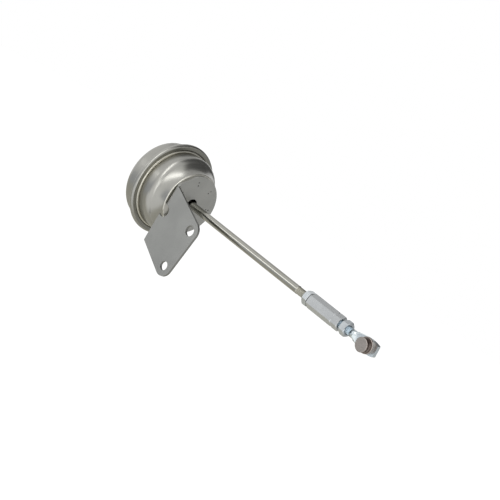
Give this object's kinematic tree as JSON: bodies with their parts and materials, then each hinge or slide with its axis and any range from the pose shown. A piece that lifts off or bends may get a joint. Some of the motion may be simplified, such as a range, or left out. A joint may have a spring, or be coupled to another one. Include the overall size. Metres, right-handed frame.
{
  "type": "wastegate actuator",
  "caption": "Pressure-driven diaphragm canister on a folded bracket, with a long sprung rod, a turnbuckle adjuster and an eye with a riveted pivot pin.",
  "frame": {"origin": "on the rod's axis, at the rear face of the pressure port's stop flange, where a hose stops", "axes": "+X along the rod from the canister to the eye, -Y is the outer face of the bracket's tab, the tab hangs along -Z"},
  "size_m": [0.2631, 0.0744, 0.0876],
  "materials": {
    "drawn_steel": "satin plated sheet",
    "bracket_steel": "satin plated sheet",
    "port_steel": "turned",
    "inner_steel": "pressed",
    "spring_steel": "drawn wire",
    "rubber": "matt",
    "rod_steel": "bright drawn",
    "zinc": "zinc plated",
    "rod_end_steel": "zinc plated forging",
    "pin_steel": "turned"
  },
  "bodies": {
    "canister": {"rear_can": "drawn_steel", "front_cover": "drawn_steel", "pressure_port": "port_steel", "diaphragm": "rubber", "spring_seat": "inner_steel", "return_spring": "spring_steel", "bracket": "bracket_steel"},
    "push_rod": {"rod": "rod_steel", "piston_cup": "inner_steel", "retainer_plate": "inner_steel", "rod_washer": "inner_steel"},
    "rear_nut": {"rear_jam_nut": "zinc"},
    "sleeve": {"adjuster_sleeve": "zinc"},
    "eye": {"rod_end": "rod_end_steel", "pivot_pin": "pin_steel"},
    "front_nut": {"front_jam_nut": "zinc"}
  },
  "joints": [
    {"name": "rod_stroke", "type": "slide", "parent": "canister", "child": "push_rod", "axis": [1, 0, 0], "range_m": [0, 0.012], "stiffness_N_per_m": 2660, "springref_m": -0.01, "deforming": ["return_spring", "diaphragm"]},
    {"name": "sleeve_turn", "type": "hinge", "parent": "push_rod", "child": "sleeve", "pos_m": [0.1995, 0, 0], "axis": [1, 0, 0], "range_deg": [0, 720]},
    {"name": "eye_travel", "type": "slide", "parent": "push_rod", "child": "eye", "axis": [1, 0, 0], "range_m": [0, 0.004]},
    {"name": "rear_nut_turn", "type": "hinge", "parent": "push_rod", "child": "rear_nut", "pos_m": [0.18155, 0, 0], "axis": [1, 0, 0], "range_deg": [-1800, 0]},
    {"name": "front_nut_turn", "type": "hinge", "parent": "eye", "child": "front_nut", "pos_m": [0.21965, 0, 0], "axis": [1, 0, 0], "range_deg": [0, 1080]}
  ],
  "couplings": [
    {"joint": "eye_travel", "follows": "sleeve_turn", "m_per_rad": 0.00031831}
  ]
}
